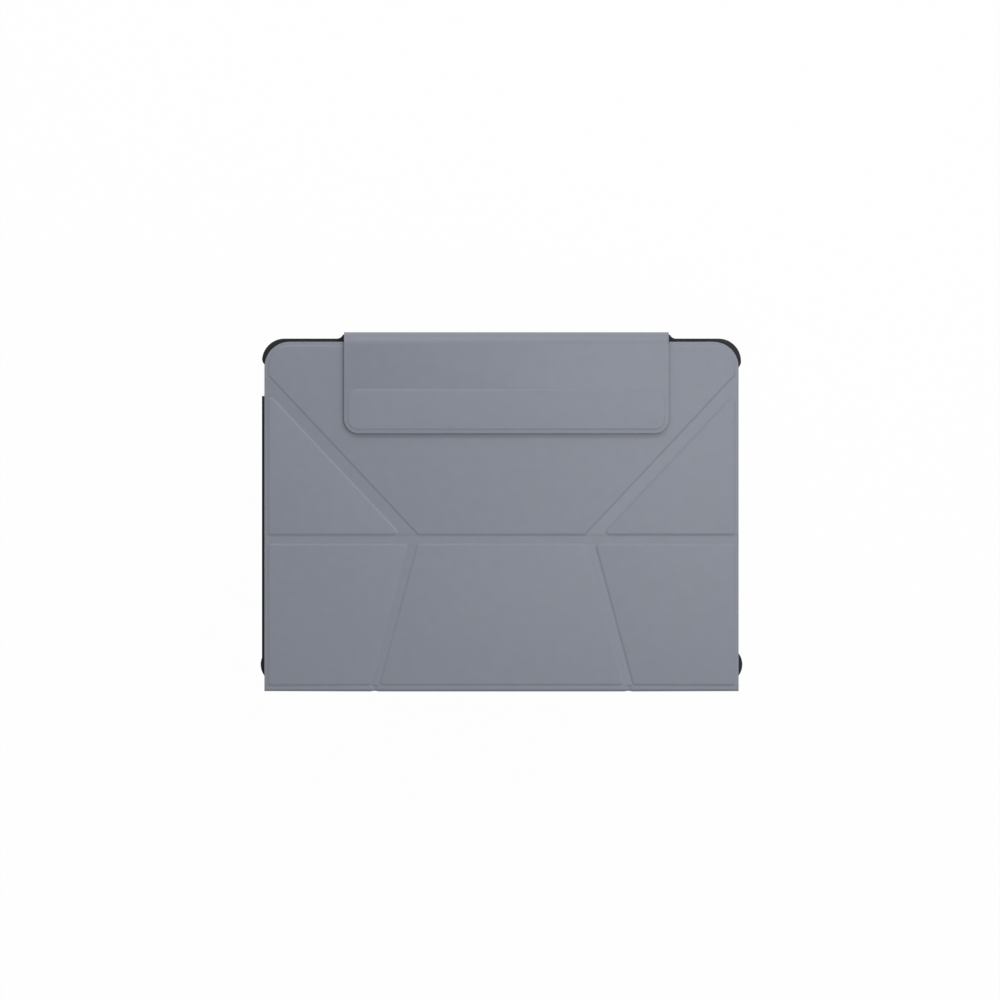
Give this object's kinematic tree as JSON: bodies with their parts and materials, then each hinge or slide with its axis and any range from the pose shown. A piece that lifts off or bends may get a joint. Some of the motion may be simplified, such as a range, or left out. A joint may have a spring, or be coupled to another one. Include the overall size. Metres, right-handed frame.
{
  "type": "tablet keyboard case",
  "caption": "Leather folio for a tablet: tray with soft bumper, creased folding cover, magnetic flap over a stylus bay, and a slim detachable keyboard inside.",
  "frame": {"origin": "middle of the closed case's footprint, on the surface that its back lies on", "axes": "+X along the spine to the right as seen from the front cover, +Y from the spine to the flap, +Z out of the front cover"},
  "size_m": [0.2566, 0.1914, 0.0206],
  "materials": {
    "cover_leather": "fine-grained matt synthetic leather",
    "lining_fabric": "short-napped microfibre",
    "bumper_rubber": "soft matt elastomer",
    "shell_plastic": "fine texture",
    "board_stock": "uncoated fibre board",
    "keeper_steel": "rolled",
    "magnet_metal": "nickel plated",
    "magnet_rubber": "flexible magnet sheet",
    "keyboard_plastic": "fine spark texture",
    "key_plastic": "satin",
    "touchpad_face": "satin glass",
    "plate_aluminium": "plain",
    "membrane_film": "translucent film",
    "dome_rubber": "silicone",
    "circuit_board": "solder mask",
    "battery_foil": "foil pouch",
    "port_metal": "stamped",
    "light_lens": "clear lens"
  },
  "bodies": {
    "tray": {"back_skin": "cover_leather", "back_board": "board_stock", "tray_shell": "shell_plastic", "bumper_frame": "bumper_rubber", "camera_ring": "bumper_rubber"},
    "spine": {"spine_skin": "cover_leather", "spine_boards": "board_stock", "spine_lining": "lining_fabric", "hinge_back": "cover_leather", "hinge_cover": "cover_leather"},
    "cover_lower": {"lower_skin": "cover_leather", "lower_lining": "lining_fabric", "board_lower_left": "board_stock", "board_lower_centre": "board_stock", "board_lower_right": "board_stock", "keyboard_keepers": "keeper_steel", "crease_middle": "cover_leather"},
    "cover_upper": {"upper_skin": "cover_leather", "upper_lining": "lining_fabric", "board_upper": "board_stock", "board_left_wing": "board_stock", "board_right_wing": "board_stock", "flap_keeper_plate": "keeper_steel", "wake_magnet": "magnet_metal"},
    "flap_bridge": {"bridge_skin": "cover_leather", "bridge_lining": "lining_fabric", "flap_hinge_back": "cover_leather", "flap_hinge_front": "cover_leather"},
    "flap_front": {"flap_skin": "cover_leather", "flap_lining": "lining_fabric", "flap_magnet_strip": "magnet_rubber"},
    "keyboard": {"keyboard_base": "keyboard_plastic", "keyboard_deck": "keyboard_plastic", "base_feet": "dome_rubber", "base_screws": "keeper_steel", "keyboard_magnets": "magnet_metal", "dome_sheet": "dome_rubber", "circuit_membrane": "membrane_film", "key_plate": "plate_aluminium", "touchpad_switch": "circuit_board", "battery_cell": "battery_foil", "controller_board": "circuit_board", "charging_port": "port_metal", "status_light": "light_lens"},
    "function_keys": {"function_keys": "key_plastic"},
    "number_keys": {"number_keys": "key_plastic"},
    "upper_letter_keys": {"upper_letter_keys": "key_plastic"},
    "home_keys": {"home_keys": "key_plastic"},
    "lower_letter_keys": {"lower_letter_keys": "key_plastic"},
    "modifier_keys": {"modifier_keys": "key_plastic"},
    "space_bar": {"space_bar": "key_plastic"},
    "touchpad": {"touchpad": "touchpad_face"},
    "power_switch": {"power_switch": "keyboard_plastic"}
  },
  "joints": [
    {"name": "spine_fold", "type": "hinge", "parent": "tray", "child": "spine", "pos_m": [0, -0.09415, 0.0015], "axis": [1, 0, 0], "range_deg": [0, 120], "deforming": ["hinge_back", "flap_skin", "flap_lining", "flap_magnet_strip"]},
    {"name": "cover_open", "type": "hinge", "parent": "spine", "child": "cover_lower", "pos_m": [0, -0.09415, 0.016], "axis": [1, 0, 0], "range_deg": [0, 180], "deforming": ["hinge_cover", "flap_skin", "flap_lining", "flap_magnet_strip"]},
    {"name": "middle_fold", "type": "hinge", "parent": "cover_lower", "child": "cover_upper", "pos_m": [0, -0.01475, 0.0175], "axis": [1, 0, 0], "range_deg": [0, 100], "deforming": ["crease_middle", "flap_skin", "flap_lining", "flap_magnet_strip"]},
    {"name": "flap_lift", "type": "hinge", "parent": "tray", "child": "flap_bridge", "pos_m": [0, 0.09265, 0.003], "axis": [-1, 0, 0], "range_deg": [0, 100], "deforming": ["flap_hinge_back"]},
    {"name": "flap_open", "type": "hinge", "parent": "flap_bridge", "child": "flap_front", "pos_m": [0, 0.08915, 0.0133], "axis": [-1, 0, 0], "range_deg": [0, 90], "deforming": ["flap_hinge_front"]},
    {"name": "keyboard_slide", "type": "slide", "parent": "cover_lower", "child": "keyboard", "axis": [1, 0, 0], "range_m": [0, 0.25]},
    {"name": "function_press", "type": "slide", "parent": "keyboard", "child": "function_keys", "axis": [0, 0, 1], "range_m": [0, 0.0012], "stiffness_N_per_m": 400, "deforming": ["dome_sheet"]},
    {"name": "number_press", "type": "slide", "parent": "keyboard", "child": "number_keys", "axis": [0, 0, 1], "range_m": [0, 0.0012], "stiffness_N_per_m": 400, "deforming": ["dome_sheet"]},
    {"name": "upper_letter_press", "type": "slide", "parent": "keyboard", "child": "upper_letter_keys", "axis": [0, 0, 1], "range_m": [0, 0.0012], "stiffness_N_per_m": 400, "deforming": ["dome_sheet"]},
    {"name": "home_press", "type": "slide", "parent": "keyboard", "child": "home_keys", "axis": [0, 0, 1], "range_m": [0, 0.0012], "stiffness_N_per_m": 400, "deforming": ["dome_sheet"]},
    {"name": "lower_letter_press", "type": "slide", "parent": "keyboard", "child": "lower_letter_keys", "axis": [0, 0, 1], "range_m": [0, 0.0012], "stiffness_N_per_m": 400, "deforming": ["dome_sheet"]},
    {"name": "modifier_press", "type": "slide", "parent": "keyboard", "child": "modifier_keys", "axis": [0, 0, 1], "range_m": [0, 0.0012], "stiffness_N_per_m": 400, "deforming": ["dome_sheet"]},
    {"name": "space_press", "type": "slide", "parent": "keyboard", "child": "space_bar", "axis": [0, 0, 1], "range_m": [0, 0.0012], "stiffness_N_per_m": 400, "deforming": ["dome_sheet"]},
    {"name": "touchpad_click", "type": "hinge", "parent": "keyboard", "child": "touchpad", "pos_m": [0, 0.0098, 0.01225], "axis": [1, 0, 0], "range_deg": [0, 0.463], "stiffness_Nm_per_rad": 3},
    {"name": "power_slide", "type": "slide", "parent": "keyboard", "child": "power_switch", "axis": [0, 1, 0], "range_m": [0, 0.003]}
  ]
}
